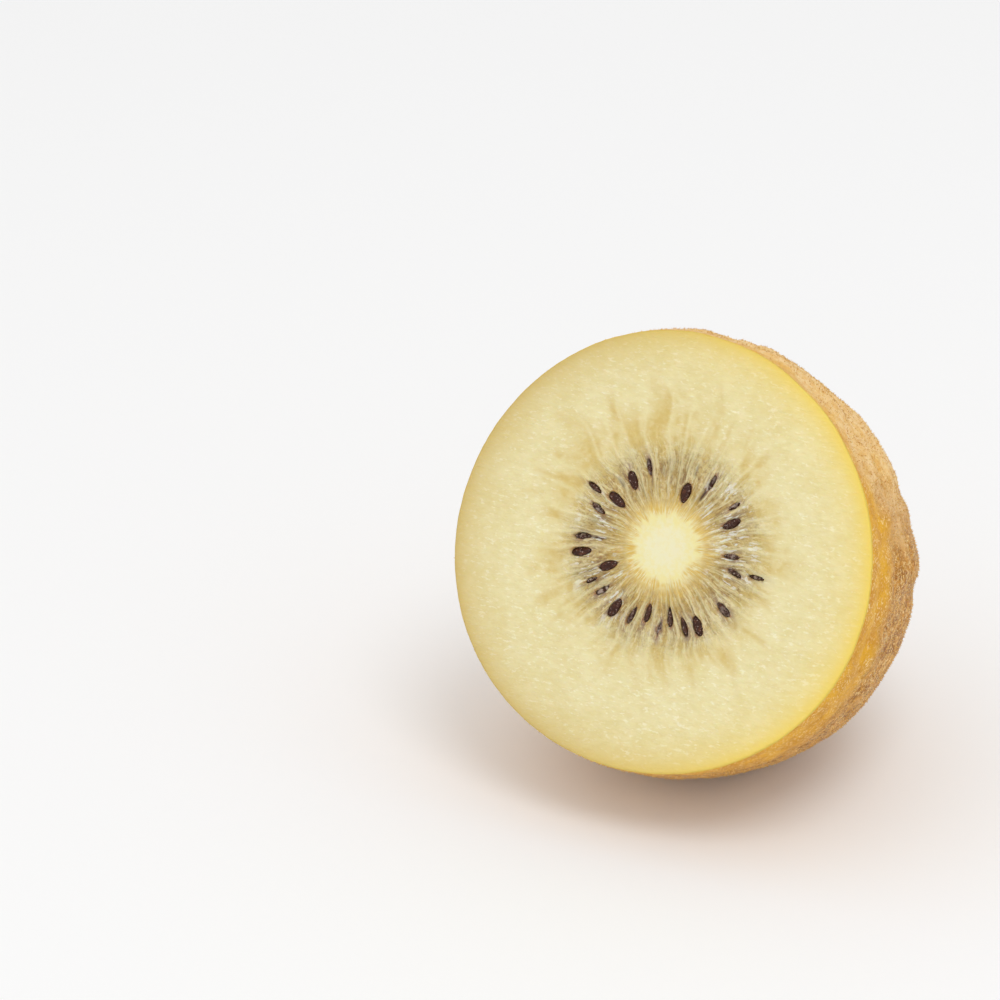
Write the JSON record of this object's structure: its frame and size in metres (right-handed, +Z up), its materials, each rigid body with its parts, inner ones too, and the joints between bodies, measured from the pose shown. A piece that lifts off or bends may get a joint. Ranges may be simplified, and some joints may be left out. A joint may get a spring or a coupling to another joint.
{
  "type": "golden kiwi fruit half",
  "caption": "Cut half of a golden kiwi fruit lying on its side, with a flat cut face, open seed pockets, loose seeds and dried styles at the blossom end",
  "frame": {"origin": "the middle of the bottom of the bounding box, level with the flat spot that the fruit rests on", "axes": "+Z up; the cut face looks along -Y, raised 26 degrees; +X to the right of someone who faces the cut; -Z is out of the flat spot"},
  "size_m": [0.052, 0.0504, 0.0558],
  "materials": {
    "skin": "golden brown fruit skin under a felt of short light tan hairs, matte",
    "flesh": "moist translucent golden yellow flesh with a cream core and fine rays, satin with wet glints",
    "seed": "dark brown, finely pitted, wet gloss",
    "dried_styles": "dry dark brown plant strands, matte"
  },
  "bodies": {
    "root": {"fruit_half": "flesh", "seed_01": "seed", "seed_02": "seed", "seed_03": "seed", "seed_04": "seed", "seed_05": "seed", "seed_06": "seed", "seed_07": "seed", "seed_08": "seed", "seed_09": "seed", "seed_10": "seed", "seed_11": "seed", "seed_12": "seed", "seed_13": "seed", "seed_14": "seed", "seed_15": "seed", "seed_16": "seed", "seed_17": "seed", "seed_18": "seed", "seed_19": "seed", "seed_20": "seed", "seed_21": "seed", "seed_22": "seed", "seed_23": "seed", "seed_24": "seed", "seed_25": "seed", "dried_styles": "dried_styles"}
  },
  "joints": []
}
